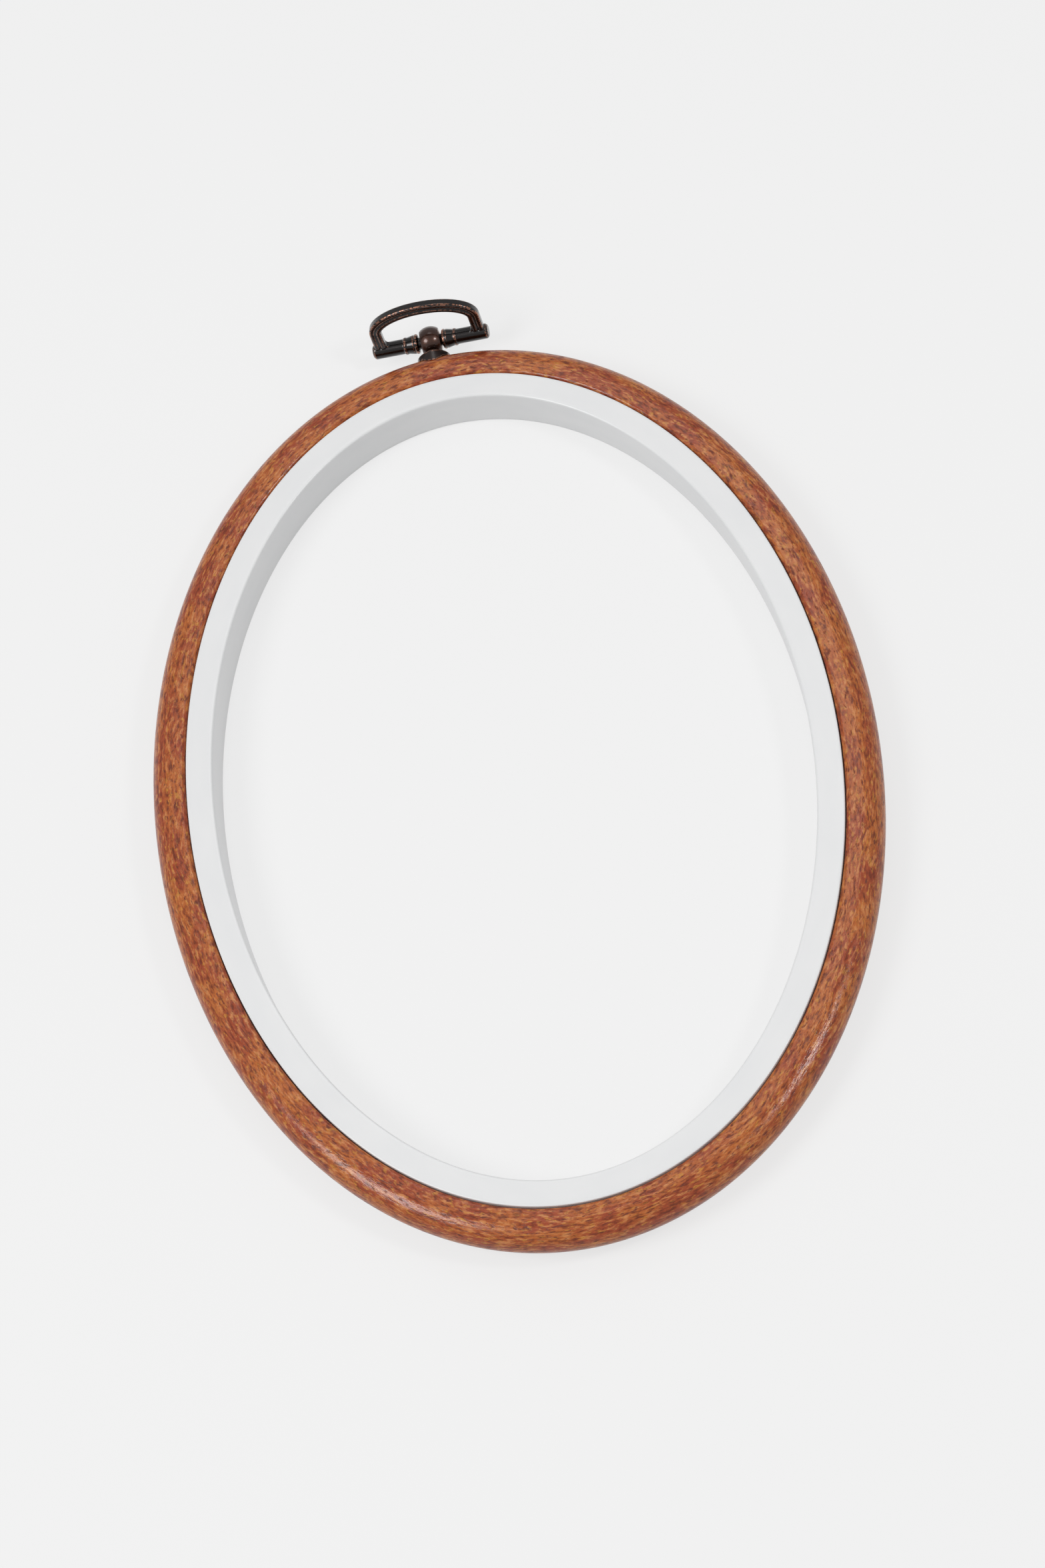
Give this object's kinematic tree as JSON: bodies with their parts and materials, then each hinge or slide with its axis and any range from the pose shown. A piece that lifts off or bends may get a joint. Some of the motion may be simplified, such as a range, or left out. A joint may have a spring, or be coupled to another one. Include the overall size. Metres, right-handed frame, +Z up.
{
  "type": "embroidery hoop",
  "caption": "Oval embroidery hoop: a rigid inner hoop, a flexible wood-grain outer hoop that clamps cloth round it, and a hanging ring on a pin at one end.",
  "frame": {"origin": "under the middle of the whole object, on the surface that it lies on", "axes": "+Y along the oval to the hanging ring, +X across the oval, +Z up out of the front of the hoop as it lies on its back"},
  "size_m": [0.1556, 0.2284, 0.0186],
  "materials": {
    "inner_hoop_plastic": "satin white moulded plastic",
    "outer_hoop_vinyl": "soft vinyl with a reddish brown wood grain, satin",
    "pin_metal": "antique copper plate",
    "washer_metal": "antique copper plate",
    "hanger_metal": "dark antique copper plate, worn bright on the high places"
  },
  "bodies": {
    "inner_hoop": {"inner_hoop": "inner_hoop_plastic"},
    "outer_hoop": {"outer_hoop": "outer_hoop_vinyl", "split_pin": "pin_metal", "cup_washer": "washer_metal"},
    "hanging_ring": {"hanging_ring": "hanger_metal"}
  },
  "joints": [
    {"name": "outer_hoop_lift", "type": "slide", "parent": "inner_hoop", "child": "outer_hoop", "axis": [0, 0, 1], "range_m": [0, 0.014]},
    {"name": "hanging_ring_swing", "type": "hinge", "parent": "outer_hoop", "child": "hanging_ring", "pos_m": [0, 0.11047, 0.0064], "axis": [0.9921, -0.1043, 0.0698], "range_deg": [-220, 65]}
  ]
}
